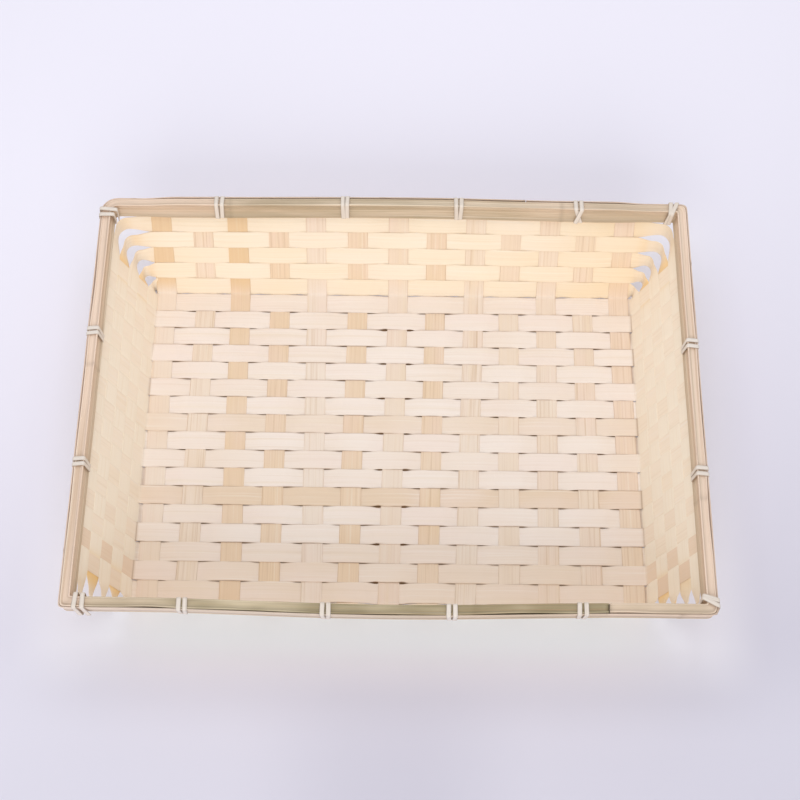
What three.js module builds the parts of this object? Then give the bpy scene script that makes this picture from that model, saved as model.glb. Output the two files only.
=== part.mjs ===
// An open tray woven from flat bamboo strips, with a rim of two hoops bound by cord ties.
// Millimetres, +Z up, +X along the long side, origin under the middle of the floor.
import * as THREE from 'three';

// Strips of the weave
const warpCount = 13;            // strips that run front to back and stand up in both long walls
const weftCount = 17;            // strips that run left to right and stand up in both short walls
const hoopCount = 5;             // strips that run round the four walls
const stripThickness = 0.6;
const warpWidth = 11;
const warpGap = 10.2;
const weftWidth = 10.5;
const weftGap = 0.45;
const hoopWidth = 9.7;
const hoopGap = 0.4;
const weaveClearance = 0.2;      // between two strips that cross
const crossingMargin = 0.15;     // flat run of a strip past the edge of the strip that it crosses

// Folds and walls
const wallFlare = THREE.MathUtils.degToRad(24.5);
const longWallBow = 2;           // how far the top of a long wall bows out at mid-length
const foldEase = 0.6;            // half length of the rounded bend between floor and wall
const foldSlack = 0.2;
const hoopStart = 0.6;           // from the fold to the lowest hoop
const cornerShare = 0.3;         // share of a hoop's free run that bends, the rest is straight
const cornerTilt = 0;            // share of the flare that a hoop keeps where no strip holds it
const cornerSag = 1;             // how far a hoop hangs down there
const cornerSteps = 3;

// Rim
const rimHeight = 8.8;
const rimThickness = 2.4;        // of one hoop
const rimTilt = THREE.MathUtils.degToRad(11);
const rimClearance = 0.1;
const innerCornerRadius = 6;
const outerCornerRadius = 1.2;
const rimCornerSteps = 4;
const rimBowSteps = 8;           // straight pieces that follow the bow of a long wall
const strandTrim = 0.4;          // how far strip ends stop below the top of the rim
const hoopSeam = 0.4;            // butt gap between the two ends of a hoop
const outerSeamPlace = 72;       // along the back wall
const innerSeamPlace = -107;     // along the front wall

// Cord ties, two turns each
const cordWidth = 2.2;
const cordThickness = 0.8;
const cordFlat = 0.6;            // share of the width that is flat, between rounded edges
const cordTurnGap = 0.5;
const cordBend = 0.5;
const cordClearance = 0.25;
const longTieCount = 4;
const longTieStep = 3.09;        // from tie to tie, in pitches of the warps
const shortTieCount = 2;
const shortTieStep = 6.8;        // in pitches of the wefts
// how far each wall's ties lie off its middle, in the same pitches
const tieShift = { back: 0.118, right: 0.502, front: 0.083, left: -0.183 };
// how far single ties stray from their even spacing, in the same pitches
const tieStray = { back: [0, 0.155], right: [], front: [0.11, 0, -0.19], left: [-0.2] };
const cornerTieInset = 10.5;     // from the outer corner of the rim to the middle of a corner tie

// Values that follow from the sizes above
const wave = stripThickness + weaveClearance;
const floorLevel = stripThickness / 2 + wave;
const warpPitch = warpWidth + warpGap;
const weftPitch = weftWidth + weftGap;
const hoopPitch = hoopWidth + hoopGap;
const stakeWidth = weftPitch - 2 * wave - 2 * crossingMargin;
const foldMargin = foldEase + crossingMargin + foldSlack + wave * Math.tan(wallFlare);
const floorHalfLength = (warpCount - 1) / 2 * warpPitch + warpWidth / 2 + foldMargin;
const floorHalfDepth = (weftCount - 1) / 2 * weftPitch + weftWidth / 2 + foldMargin;
const rimBend = wallFlare - rimTilt;
const hoopHalfSpan = wave + stripThickness / 2;
const hoopTop = hoopStart + hoopCount * hoopPitch - hoopGap;
const cordRoom = cordThickness + 2 * cordClearance;
const wallSlant = hoopTop + (cordRoom + hoopHalfSpan * Math.sin(rimBend)) / Math.cos(rimBend);
const bowAngle = longWallBow / (wallSlant * Math.cos(wallFlare));
const rimHalfSpan = stripThickness / 2 + rimClearance + rimThickness;
const rimOffset = rimHalfSpan - rimThickness / 2;
const rimMiddleReach = wallSlant * Math.sin(wallFlare) + rimHeight / 2 * Math.sin(rimTilt);
const cordStep = cordWidth + cordTurnGap;
const tieWidth = cordWidth + cordStep;

const up = new THREE.Vector3(0, 0, 1);

function spread(count, spacing, shift = 0) {
  return Array.from({ length: count }, (_, index) => shift + (index - (count - 1) / 2) * spacing);
}

function tiePlaces(name, count, step, pitch) {
  return spread(count, step, tieShift[name]).map((place, index) => pitch * (place + (tieStray[name][index] ?? 0)));
}

// A wall: its outward side, the way it runs, its fold's distance, its upright strips and its ties
function longWall(name, normal, along) {
  const stakes = spread(warpCount, warpPitch);
  const ties = tiePlaces(name, longTieCount, longTieStep, warpPitch);
  const end = stakes.at(-1) + warpWidth / 2 + crossingMargin;
  return { name, normal, along, reach: floorHalfDepth, bow: bowAngle, stakes, width: warpWidth, ties, end };
}

function shortWall(name, normal, along) {
  const stakes = spread(weftCount, weftPitch);
  const ties = tiePlaces(name, shortTieCount, shortTieStep, weftPitch);
  const end = stakes.at(-1) + stakeWidth / 2 + crossingMargin;
  return { name, normal, along, reach: floorHalfLength, bow: 0, stakes, width: stakeWidth, ties, end };
}

const vector = (x, y) => new THREE.Vector3(x, y, 0);
const front = longWall('front', vector(0, -1), vector(-1, 0));
const left = shortWall('left', vector(-1, 0), vector(0, 1));
const back = longWall('back', vector(0, 1), vector(1, 0));
const right = shortWall('right', vector(1, 0), vector(0, -1));
const walls = [front, left, back, right];

// A solid through a row of sections that all have the same corners in the same order
function loft(sections) {
  const corners = sections[0].length;
  const positions = sections.flat().flatMap((point) => point.toArray());
  const triangles = [];
  for (let row = 0; row + 1 < sections.length; row += 1) {
    for (let corner = 0; corner < corners; corner += 1) {
      const here = row * corners + corner;
      const beside = row * corners + (corner + 1) % corners;
      triangles.push(here, beside, beside + corners, here, beside + corners, here + corners);
    }
  }
  const last = (sections.length - 1) * corners;
  for (let corner = 1; corner + 1 < corners; corner += 1) {
    triangles.push(0, corner + 1, corner, last, last + corner, last + corner + 1);
  }
  const geometry = new THREE.BufferGeometry();
  geometry.setAttribute('position', new THREE.Float32BufferAttribute(positions, 3));
  geometry.setIndex(triangles);
  geometry.computeVertexNormals();
  return geometry;
}

function flatSection(middle, across, through, width, thickness) {
  const corners = [[-1, -1], [1, -1], [1, 1], [-1, 1]];
  return corners.map(([a, b]) => middle.clone()
    .addScaledVector(across, a * width / 2)
    .addScaledVector(through, b * thickness / 2));
}

function mix(a, b) {
  return a.clone().add(b).normalize();
}

// Directions on a leaning face: up the slope, and inward at right angles to it
function slope(normal, tilt) {
  return {
    rise: normal.clone().multiplyScalar(Math.sin(tilt)).addScaledVector(up, Math.cos(tilt)),
    inward: normal.clone().multiplyScalar(-Math.cos(tilt)).addScaledVector(up, Math.sin(tilt)),
  };
}

// A long wall leans out most at mid-length, and as the corners do from its last strip on
function flareAt(wall, along) {
  const share = Math.min(Math.abs(along) / wall.end, 1);
  return wallFlare + wall.bow * (1 + Math.cos(Math.PI * share)) / 2;
}

function wallPoint(wall, along, slant) {
  const { rise } = slope(wall.normal, flareAt(wall, along));
  return wall.along.clone().multiplyScalar(along)
    .addScaledVector(wall.normal, wall.reach)
    .addScaledVector(up, floorLevel)
    .addScaledVector(rise, slant);
}

function rimPoint(wall, along, height) {
  return wallPoint(wall, along, wallSlant).addScaledVector(slope(wall.normal, rimTilt).rise, height);
}

// A strip end that would stand in a tie's way stops below it
function isCutShort(wall, along) {
  const reach = (wall.width + tieWidth) / 2 + cordClearance;
  return wall.ties.some((tie) => Math.abs(tie - along) < reach);
}

// The standing end of a strip, from its fold to its tip; side turns its width to face the strip's run
function standingEnd(wall, along, level, width, side) {
  const flare = flareAt(wall, along);
  const wallInward = slope(wall.normal, flare).inward;
  const rimInward = slope(wall.normal, rimTilt).inward;
  const bendInward = mix(up, wallInward);
  const foldSlant = level / Math.cos(flare);
  const station = (place, through) => {
    const edges = [-side, side].map((edge) => place(along + edge * width / 2));
    const middle = edges[0].clone().lerp(edges[1], 1 / 2);
    return { middle, across: edges[1].sub(edges[0]).normalize(), through, width };
  };
  const onWall = (slant) => (at) => wallPoint(wall, at, slant);
  const foldStart = (at) => wallPoint(wall, at, foldSlant).addScaledVector(wall.normal, -foldEase);
  const stations = [
    station(foldStart, mix(up, bendInward)),
    station(onWall(foldSlant + foldEase), mix(bendInward, wallInward)),
  ];
  if (isCutShort(wall, along)) {
    stations.push(station(onWall(hoopTop), wallInward));
  } else {
    stations.push(station(onWall(wallSlant), mix(wallInward, rimInward)));
    stations.push(station((at) => rimPoint(wall, at, rimHeight - strandTrim), rimInward));
  }
  return stations;
}

function stripGeometry(stations) {
  return loft(stations.map(({ middle, across, through, width }) => (
    flatSection(middle, across, through, width, stripThickness))));
}

function warpGeometry(x) {
  return stripGeometry([
    ...standingEnd(front, -x, 0, warpWidth, 1).reverse(),
    ...standingEnd(back, x, 0, warpWidth, -1),
  ]);
}

// A weft steps over and under the warps, then narrows where it stands as a stake
function weftGeometry(y, row) {
  const levels = back.stakes.map((_, column) => ((row + column) % 2 === 0 ? -wave : wave));
  const flat = warpWidth / 2 + crossingMargin;
  const floor = back.stakes.flatMap((x, column) => [x - flat, x + flat].map((place) => ({
    middle: new THREE.Vector3(place, y, floorLevel + levels[column]),
    across: vector(0, 1),
    through: up,
    width: weftWidth,
  })));
  return stripGeometry([
    ...standingEnd(left, y, levels[0], stakeWidth, 1).reverse(),
    ...floor,
    ...standingEnd(right, -y, levels.at(-1), stakeWidth, -1),
  ]);
}

// A section of a wall hoop or rim hoop; offset is counted inward from the face it follows
function hoopSection(point, normal, tilt, offset, width, thickness) {
  const { rise, inward } = slope(normal, tilt);
  return flatSection(point.clone().addScaledVector(inward, offset), rise, inward, width, thickness);
}

function wallHoopGeometry(hoop) {
  const slant = hoopStart + hoopWidth / 2 + hoop * hoopPitch;
  const reachAt = (wall) => wall.reach + slant * Math.sin(wallFlare);
  const level = floorLevel + slant * Math.cos(wallFlare);
  const section = (wall, along, offset) => hoopSection(
    wallPoint(wall, along, slant), wall.normal, flareAt(wall, along), offset, hoopWidth, stripThickness);
  const sections = [];
  let crossing = hoop + 1;
  walls.forEach((wall, index) => {
    wall.stakes.forEach((stake) => {
      const offset = crossing % 2 === 0 ? wave : -wave;
      const flat = wall.width / 2 + crossingMargin;
      sections.push(section(wall, stake - flat, offset), section(wall, stake + flat, offset));
      crossing += 1;
    });
    // round the corner to the next wall, where the hoop crosses to the other side
    const next = walls[(index + 1) % walls.length];
    const outReach = reachAt(wall) - next.end;
    const sideReach = reachAt(next) - wall.end;
    const lastOffset = crossing % 2 === 0 ? -wave : wave;
    for (let step = 0; step <= cornerSteps; step += 1) {
      const angle = step / cornerSteps * Math.PI / 2;
      const point = wall.along.clone()
        .multiplyScalar(wall.end + sideReach * (1 - cornerShare * (1 - Math.sin(angle))))
        .addScaledVector(wall.normal, next.end + outReach * (1 - cornerShare * (1 - Math.cos(angle))))
        .addScaledVector(up, level - cornerSag);
      const normal = wall.normal.clone().multiplyScalar(sideReach * Math.cos(angle))
        .addScaledVector(wall.along, outReach * Math.sin(angle)).normalize();
      const offset = lastOffset * Math.cos(2 * angle);
      sections.push(hoopSection(point, normal, wallFlare * cornerTilt, offset, hoopWidth, stripThickness));
    }
  });
  // the two ends butt together behind a strip of the front wall
  const seam = (warpCount - 1) / 2 - hoop % 2;
  const cut = 2 * seam + 1;
  const ends = [1, -1].map((side) => section(front, front.stakes[seam] + side * hoopSeam / 2, -wave));
  return loft([ends[0], ...sections.slice(cut), ...sections.slice(0, cut), ends[1]]);
}

// A rim hoop starts and ends at a seam in the wall that is named first
function rimHoopGeometry(seamWall, seamPlace, offset, cornerRadius) {
  const first = walls.indexOf(seamWall);
  const order = walls.map((_, index) => walls[(first + index) % walls.length]);
  const section = (point, normal) => hoopSection(point, normal, rimTilt, offset, rimHeight, rimThickness);
  const seamSection = (side) => (
    section(rimPoint(seamWall, seamPlace + side * hoopSeam / 2, rimHeight / 2), seamWall.normal));
  const bowSections = (wall) => spread(wall.bow > 0 ? rimBowSteps + 1 : 0, 2 * wall.end / rimBowSteps)
    .map((along) => ({ along, corners: section(rimPoint(wall, along, rimHeight / 2), wall.normal) }));
  const pastSeam = ({ along }) => along > seamPlace;
  const beforeSeam = ({ along }) => along < seamPlace;
  const sections = [seamSection(1)];
  order.forEach((wall, index) => {
    const next = order[(index + 1) % order.length];
    const level = rimPoint(wall, wall.end, rimHeight / 2).z;
    const straight = bowSections(wall).filter(index === 0 ? pastSeam : () => true);
    sections.push(...straight.map(({ corners }) => corners));
    const centre = wall.along.clone().multiplyScalar(next.reach + rimMiddleReach - cornerRadius)
      .addScaledVector(wall.normal, wall.reach + rimMiddleReach - cornerRadius)
      .addScaledVector(up, level);
    for (let step = 0; step <= rimCornerSteps; step += 1) {
      const angle = step / rimCornerSteps * Math.PI / 2;
      const normal = wall.normal.clone().multiplyScalar(Math.cos(angle))
        .addScaledVector(wall.along, Math.sin(angle));
      sections.push(section(centre.clone().addScaledVector(normal, cornerRadius), normal));
    }
  });
  const closing = bowSections(seamWall).filter(beforeSeam);
  sections.push(...closing.map(({ corners }) => corners), seamSection(-1));
  return loft(sections);
}

// One turn of a tie: up the outside, over the top and down the inside, with each bend cut in two
function tieTurn(along, inner, outer, low, high) {
  return [
    [along, outer, low + cordBend], [along, outer, high - cordBend],
    [along, outer - cordBend, high], [along, inner + cordBend, high],
    [along, inner, high - cordBend], [along, inner, low + cordBend],
  ];
}

// The least distance between the two turns of a tie, on the corners of their sections
let leastTurnGap = Infinity;
function measureTurnGap(sections) {
  const first = sections.slice(0, sections.length / 2).flat();
  const second = sections.slice(sections.length / 2).flat();
  const gaps = first.flatMap((a) => second.map((b) => a.distanceTo(b)));
  leastTurnGap = Math.min(leastTurnGap, ...gaps);
}

// A flat cord laid along points given as along, outward and up, in a frame of its own
function tieGeometry(origin, axes, points) {
  const steps = points.slice(1).map((point, index) => (
    new THREE.Vector2(point[1] - points[index][1], point[2] - points[index][2]).normalize()));
  const outline = [[-1, 0], [-cordFlat, -1], [cordFlat, -1], [1, 0], [cordFlat, 1], [-cordFlat, 1]];
  const sections = points.map(([along, outward, height], index) => {
    const before = steps[Math.max(index - 1, 0)];
    const after = steps[Math.min(index, steps.length - 1)];
    const run = before.clone().add(after).normalize();
    const half = cordThickness / 2 / run.dot(after);
    return outline.map(([side, face]) => origin.clone()
      .addScaledVector(axes.along, along + side * cordWidth / 2)
      .addScaledVector(axes.outward, outward + face * half * run.y)
      .addScaledVector(axes.rise, height - face * half * run.x));
  });
  measureTurnGap(sections);
  return loft(sections);
}

// Two turns side by side, joined by a slanting run under the rim
function tiePoints(firstInner, secondInner, outer, low, high) {
  const first = tieTurn(-cordStep / 2, firstInner, outer, low, high);
  const second = tieTurn(cordStep / 2, secondInner, outer, low, high);
  const under = [
    [-cordStep / 2, firstInner + cordBend, low],
    [cordStep / 2, outer - cordBend, low],
  ];
  return [...first, ...under, ...second];
}

const cordReach = rimHalfSpan + cordClearance + cordThickness / 2;
const cordDrop = cordClearance + cordThickness / 2;

function wallTieGeometry(wall, along) {
  const { rise, inward } = slope(wall.normal, rimTilt);
  const axes = { along: wall.along, outward: inward.clone().negate(), rise };
  const points = tiePoints(-cordReach, -cordReach, cordReach, -cordDrop, rimHeight + cordDrop);
  return tieGeometry(rimPoint(wall, along, 0), axes, points);
}

// A corner tie stands upright and also takes in the rounder bend of the inner rim hoop
function cornerTieGeometry(wall) {
  const next = walls[(walls.indexOf(wall) + 1) % walls.length];
  const lean = Math.sin(rimTilt);
  const outerSpan = rimHalfSpan * Math.cos(rimTilt);
  const outerFace = rimMiddleReach + rimHeight / 2 * lean + outerSpan;
  const place = next.reach + outerFace - cornerTieInset;
  const innerRadius = innerCornerRadius - rimHeight / 2 * lean - outerSpan;
  const centreAlong = next.reach + rimMiddleReach - innerCornerRadius;
  const centreOut = wall.reach + rimMiddleReach - innerCornerRadius;
  const innerFace = (edge) => {
    const past = Math.min(Math.max(edge - centreAlong, 0), innerRadius);
    return centreOut + Math.sqrt(innerRadius ** 2 - past ** 2) - cordClearance - cordThickness / 2;
  };
  const turns = [-1, 1].map((side) => innerFace(place + side * cordStep / 2 + cordWidth / 2));
  const rimLow = rimPoint(wall, wall.end, 0).z - rimHalfSpan * lean;
  const rimHigh = rimPoint(wall, wall.end, rimHeight).z + rimHalfSpan * lean;
  const outer = wall.reach + outerFace + cordDrop;
  const points = tiePoints(turns[0], turns[1], outer, rimLow - cordDrop, rimHigh + cordDrop);
  const axes = { along: wall.along, outward: wall.normal, rise: up };
  return tieGeometry(wall.along.clone().multiplyScalar(place), axes, points);
}

const finish = (color, roughness) => new THREE.MeshStandardMaterial({ color, roughness, metalness: 0 });
const warpFinish = finish('#dcc19c', 0.62);
const weftFinish = finish('#efe1ce', 0.58);
const hoopFinish = finish('#f0ddb9', 0.58);
const rimFinish = finish('#cdb58a', 0.55);
const cordFinish = finish('#f2eee6', 0.75);

const tray = new THREE.Group();

function addPiece(name, geometry, material) {
  const piece = new THREE.Mesh(geometry, material);
  piece.name = name;
  tray.add(piece);
}

const numbered = (name, index) => `${name}_${String(index + 1).padStart(2, '0')}`;

// warps are numbered from the left, wefts from the back and wall hoops from the floor
back.stakes.forEach((x, column) => {
  addPiece(numbered('warp_strip', column), warpGeometry(x), warpFinish);
});
right.stakes.forEach((place, row) => {
  addPiece(numbered('weft_strip', row), weftGeometry(-place, row), weftFinish);
});
for (let hoop = 0; hoop < hoopCount; hoop += 1) {
  addPiece(numbered('wall_hoop', hoop), wallHoopGeometry(hoop), hoopFinish);
}
addPiece('rim_inner_hoop', rimHoopGeometry(front, innerSeamPlace, rimOffset, innerCornerRadius), rimFinish);
addPiece('rim_outer_hoop', rimHoopGeometry(back, outerSeamPlace, -rimOffset, outerCornerRadius), rimFinish);
walls.forEach((wall) => {
  wall.ties.forEach((place, index) => {
    addPiece(numbered(`${wall.name}_tie`, index), wallTieGeometry(wall, place), cordFinish);
  });
});
addPiece('back_left_corner_tie', cornerTieGeometry(left), cordFinish);
addPiece('back_right_corner_tie', cornerTieGeometry(back), cordFinish);
addPiece('front_right_corner_tie', cornerTieGeometry(right), cordFinish);
addPiece('front_left_corner_tie', cornerTieGeometry(front), cordFinish);
console.log(`least gap between the two turns of a tie: ${leastTurnGap.toFixed(2)} mm`);

export default tray;
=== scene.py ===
import bpy
import numpy as np
from mathutils import Matrix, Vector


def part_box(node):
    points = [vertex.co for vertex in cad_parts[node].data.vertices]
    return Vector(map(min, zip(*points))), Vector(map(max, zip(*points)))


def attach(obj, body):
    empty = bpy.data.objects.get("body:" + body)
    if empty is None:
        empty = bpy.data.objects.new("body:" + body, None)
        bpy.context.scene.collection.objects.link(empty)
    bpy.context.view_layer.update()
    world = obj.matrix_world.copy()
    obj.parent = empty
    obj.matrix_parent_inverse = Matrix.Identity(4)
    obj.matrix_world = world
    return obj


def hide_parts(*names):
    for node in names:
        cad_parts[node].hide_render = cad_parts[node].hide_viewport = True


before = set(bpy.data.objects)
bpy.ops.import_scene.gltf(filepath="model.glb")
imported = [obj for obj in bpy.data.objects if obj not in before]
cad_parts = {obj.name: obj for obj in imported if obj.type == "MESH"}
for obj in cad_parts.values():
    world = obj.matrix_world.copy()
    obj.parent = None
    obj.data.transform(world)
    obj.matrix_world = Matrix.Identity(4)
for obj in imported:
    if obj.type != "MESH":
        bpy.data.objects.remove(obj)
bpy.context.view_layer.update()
nodeNames = set(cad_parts)
print("frame:", len(nodeNames), "nodes")

# Plain helpers

milli = 0.001
zUp = np.array([0.0, 0.0, 1.0])


# eased step: 3t^2 - 2t^3 between two edges
def ease(low, high, value):
    t = np.clip((value - low) / (high - low), 0, 1)
    return t * t * (3 - 2 * t)


# unit vectors along the last axis
def unit(vectors):
    return vectors / np.linalg.norm(vectors, axis=-1, keepdims=True)


# distance travelled along a path: running sum of the steps between its points
def travelled(points):
    return np.append(0, np.cumsum(np.linalg.norm(np.diff(points, axis=0), axis=1)))


# even places from low to high, about one step apart and at least two
def evenPlaces(low, high, step):
    return np.linspace(low, high, max(int((high - low) / step), 2))


# slow wobble: a few sines with seeded phases and wavelengths, about -1 to 1
def wobble(seed, run, shortest, longest, parts=4):
    dice = np.random.default_rng(seed)
    lengths = dice.uniform(shortest, longest, parts)
    phases = dice.uniform(0, 2 * np.pi, parts)
    return np.sin(2 * np.pi * run[..., None] / lengths + phases).sum(-1) / np.sqrt(2 * parts)


# bell-weighted mean of the rows within 2.5 reaches; past its ends a path goes on turned about the end point
def soften(rows, reach):
    span = int(np.ceil(2.5 * reach))
    head = 2 * rows[:1] - rows[span:0:-1]
    tail = 2 * rows[-1:] - rows[-2:-span - 2:-1]
    padded = np.concatenate([head, rows, tail])
    offsets = np.arange(-span, span + 1)
    weights = np.exp(-0.5 * (offsets / reach) ** 2)
    weights /= weights.sum()
    return sum(w * padded[span + k:span + k + len(rows)] for w, k in zip(weights, offsets))


# Sizes that the pieces share, in mm

weave = {
    "thickness": 0.6,
    "clearance": 0.2,
    "margin": 0.15,
    "flare": np.radians(24.5),     # lean of the walls
    "bow": 2.0,                    # how far a long wall's top bows out at mid-length
    "foldEase": 0.6,
    "foldSlack": 0.2,
    "hoopStart": 0.6,
    "hoopWidth": 9.7,
    "hoopGap": 0.4,
    "cornerShare": 0.3,            # share of a hoop's free run at a corner that bends
    "cornerSag": 1.0,
    "seenThickness": 0.34,         # of the strips as they show, pressed flat by the weaving
    "seenWave": 0.38,
    "wallThickness": 0.18,         # the same on the short walls
    "wallWave": 0.22,
}
rim = {
    "height": 8.8,
    "thickness": 2.4,
    "tilt": np.radians(11),
    "clearance": 0.1,
    "seam": 0.4,
    "outerSeam": 72.0,             # along the back wall
    "innerSeam": -107.0,           # along the front wall
}
cord = {
    "width": 2.2,
    "thickness": 0.8,
    "turnGap": 0.5,
    "bend": 0.5,
    "clearance": 0.25,
    "cornerInset": 10.5,           # from the next wall's outer rim face to where a corner tie is counted from
}


# how many nodes have names that start with the stem
def countOf(stem):
    return sum(name.startswith(stem) for name in nodeNames)


# middle and width of each numbered node along one axis, read from the frame
def lieOf(stem, axis):
    boxes = [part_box(f"{stem}{k:02d}") for k in range(1, countOf(stem) + 1)]
    low = np.array([box[0][axis] for box in boxes]) / milli
    high = np.array([box[1][axis] for box in boxes]) / milli
    return (low + high) / 2, (high - low).mean()


warpPlaces, warpWidth = lieOf("warp_strip_", 0)
weftPlaces, weftWidth = lieOf("weft_strip_", 1)
warpCount = len(warpPlaces)
weftCount = len(weftPlaces)
hoopCount = countOf("wall_hoop_")
weftPitch = -np.diff(weftPlaces).mean()
hoopPitch = weave["hoopWidth"] + weave["hoopGap"]
waveHeight = weave["thickness"] + weave["clearance"]
floorLevel = weave["thickness"] / 2 + waveHeight
stakeWidth = weftPitch - 2 * waveHeight - 2 * weave["margin"]
foldMargin = weave["foldEase"] + weave["margin"] + weave["foldSlack"] + waveHeight * np.tan(weave["flare"])
halfLength = warpPlaces[-1] + warpWidth / 2 + foldMargin
halfDepth = weftPlaces[0] + weftWidth / 2 + foldMargin
rimBend = weave["flare"] - rim["tilt"]
hoopTop = weave["hoopStart"] + hoopCount * hoopPitch - weave["hoopGap"]
cordRoom = cord["thickness"] + 2 * cord["clearance"]
hoopHalfSpan = waveHeight + weave["thickness"] / 2
wallSlant = hoopTop + (cordRoom + hoopHalfSpan * np.sin(rimBend)) / np.cos(rimBend)
bowAngle = weave["bow"] / (wallSlant * np.cos(weave["flare"]))
rimHalfSpan = weave["thickness"] / 2 + rim["clearance"] + rim["thickness"]
rimReach = wallSlant * np.sin(weave["flare"]) + rim["height"] / 2 * np.sin(rim["tilt"])
cordStep = cord["width"] + cord["turnGap"]
tieWidth = cord["width"] + cordStep


# a wall: outward side, running direction, distance of its fold, where it crosses upright strips, and ties
def wallOf(name, normal, along, reach, bow, stakes, width):
    along = np.array([*along, 0.0])
    ties = sorted(n for n in nodeNames if n.startswith(f"{name}_tie_"))
    middles = [np.add(*map(np.array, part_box(node))) / 2 / milli for node in ties]
    return {
        "name": name,
        "normal": np.array([*normal, 0.0]),
        "along": along,
        "reach": reach,
        "bow": bow,
        "crossings": stakes,
        "width": width,
        "end": stakes[-1] + width / 2 + weave["margin"],
        "ties": dict(zip(ties, [float(m @ along) for m in middles])),
    }


depthPlaces = weftPlaces[::-1]
frontWall = wallOf("front", (0, -1), (-1, 0), halfDepth, bowAngle, warpPlaces, warpWidth)
leftWall = wallOf("left", (-1, 0), (0, 1), halfLength, 0, depthPlaces, stakeWidth)
backWall = wallOf("back", (0, 1), (1, 0), halfDepth, bowAngle, warpPlaces, warpWidth)
rightWall = wallOf("right", (1, 0), (0, -1), halfLength, 0, depthPlaces, stakeWidth)
walls = [frontWall, leftWall, backWall, rightWall]
wallNames = [wall["name"] for wall in walls]


# lean of a wall: most at mid-length of a bowed wall, plain flare from its last strip on
def leanOf(wall, along):
    share = np.minimum(np.abs(along) / wall["end"], 1)
    return weave["flare"] + wall["bow"] * (1 + np.cos(np.pi * share)) / 2


# up the slope: outward times sin(tilt) plus up times cos(tilt)
def riseOf(normal, tilt):
    return normal * np.sin(tilt)[..., None] + zUp * np.cos(tilt)[..., None]


# inward, square to the slope
def inwardOf(normal, tilt):
    return -normal * np.cos(tilt)[..., None] + zUp * np.sin(tilt)[..., None]


# point on a wall's middle face, from a place along it and a height up the slope; above the wall it bends
# into the rim
def wallPoint(wall, along, slant):
    tilt = leanOf(wall, along)
    onWall = np.minimum(slant, wallSlant)
    onRim = np.maximum(slant - wallSlant, 0)
    foot = along[..., None] * wall["along"] + wall["normal"] * wall["reach"] + zUp * floorLevel
    top = riseOf(wall["normal"], rim["tilt"] + 0 * tilt)
    return foot + riseOf(wall["normal"], tilt) * onWall[..., None] + top * onRim[..., None]


# Shader nodes

# sRGB 0 to 255 to a linear colour with alpha
def tint(red, green, blue):
    value = np.array([red, green, blue]) / 255
    linear = np.where(value <= 0.04045, value / 12.92, ((value + 0.055) / 1.055) ** 2.4)
    return (*linear.tolist(), 1.0)


# a socket that takes part in sums: each operator adds one Math node
class Signal:
    def __init__(self, finish, socket):
        self.finish = finish
        self.socket = socket

    def combine(self, operation, first, second):
        return self.finish.add("ShaderNodeMath", {"operation": operation}, {0: first, 1: second})

    def __add__(self, other):
        return self.combine("ADD", self, other)

    def __radd__(self, other):
        return self.combine("ADD", other, self)

    def __sub__(self, other):
        return self.combine("SUBTRACT", self, other)

    def __rsub__(self, other):
        return self.combine("SUBTRACT", other, self)

    def __mul__(self, other):
        return self.combine("MULTIPLY", self, other)

    def __rmul__(self, other):
        return self.combine("MULTIPLY", other, self)

    def __abs__(self):
        return self.finish.add("ShaderNodeMath", {"operation": "ABSOLUTE"}, {0: self})


# a node tree under work: a new material's, or the one that is given
class Finish:
    def __init__(self, name, tree=None):
        self.material = None
        if tree is None:
            self.material = bpy.data.materials.new(name)
            self.material.use_nodes = True
            tree = self.material.node_tree
        self.tree = tree
        self.tree.nodes.clear()

    # one node: its type, its settings, the values or links of its sockets, and the output that is handed back
    def add(self, kind, settings=None, sockets=None, output=0):
        node = self.tree.nodes.new(kind)
        for key, value in (settings or {}).items():
            setattr(node, key, value)
        for key, value in (sockets or {}).items():
            if isinstance(value, Signal):
                self.tree.links.new(value.socket, node.inputs[key])
            else:
                node.inputs[key].default_value = value
        return Signal(self, node.outputs[output]) if len(node.outputs) else None

    # colour mix: factor, first colour, second colour
    def mix(self, factor, first, second):
        return self.add("ShaderNodeMix", {"data_type": "RGBA"}, {0: factor, 6: first, 7: second}, 2)

    # eased 0 to 1 between two values
    def step(self, value, low, high):
        settings = {"interpolation_type": "SMOOTHSTEP"}
        return self.add("ShaderNodeMapRange", settings, {0: value, 1: low, 2: high, 3: 0.0, 4: 1.0})

    # rises between two values and falls again between two others
    def band(self, value, rise, fall):
        return self.step(value, *rise) * (1 - self.step(value, *fall))

    # a piece's own value, kept on its vertices
    def value(self, name):
        return self.add("ShaderNodeAttribute", {"attribute_name": name}, {}, 2)

    # noise over the piece's own map: features per mm along it and across it, detail, roughness and shift
    def grain(self, alongRate, acrossRate, detail, rough, shift):
        spot = self.add("ShaderNodeUVMap", {"uv_map": "fibre"})
        rates = {"Vector": spot, "Location": (0, 0, shift), "Scale": (alongRate, acrossRate, 1)}
        place = self.add("ShaderNodeMapping", {}, rates)
        sockets = {"Vector": place, "Scale": 1.0, "Detail": detail, "Roughness": rough}
        return self.add("ShaderNodeTexNoise", {}, sockets)

    # bump from a height, at a strength, over a distance in metres
    def bump(self, height, strength, distance):
        return self.add("ShaderNodeBump", {}, {"Strength": strength, "Distance": distance, "Height": height})

    # the one shader and the output
    def finish(self, sockets):
        shader = self.add("ShaderNodeBsdfPrincipled", {}, sockets)
        self.add("ShaderNodeOutputMaterial", {}, {"Surface": shader})
        return self.material


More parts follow.
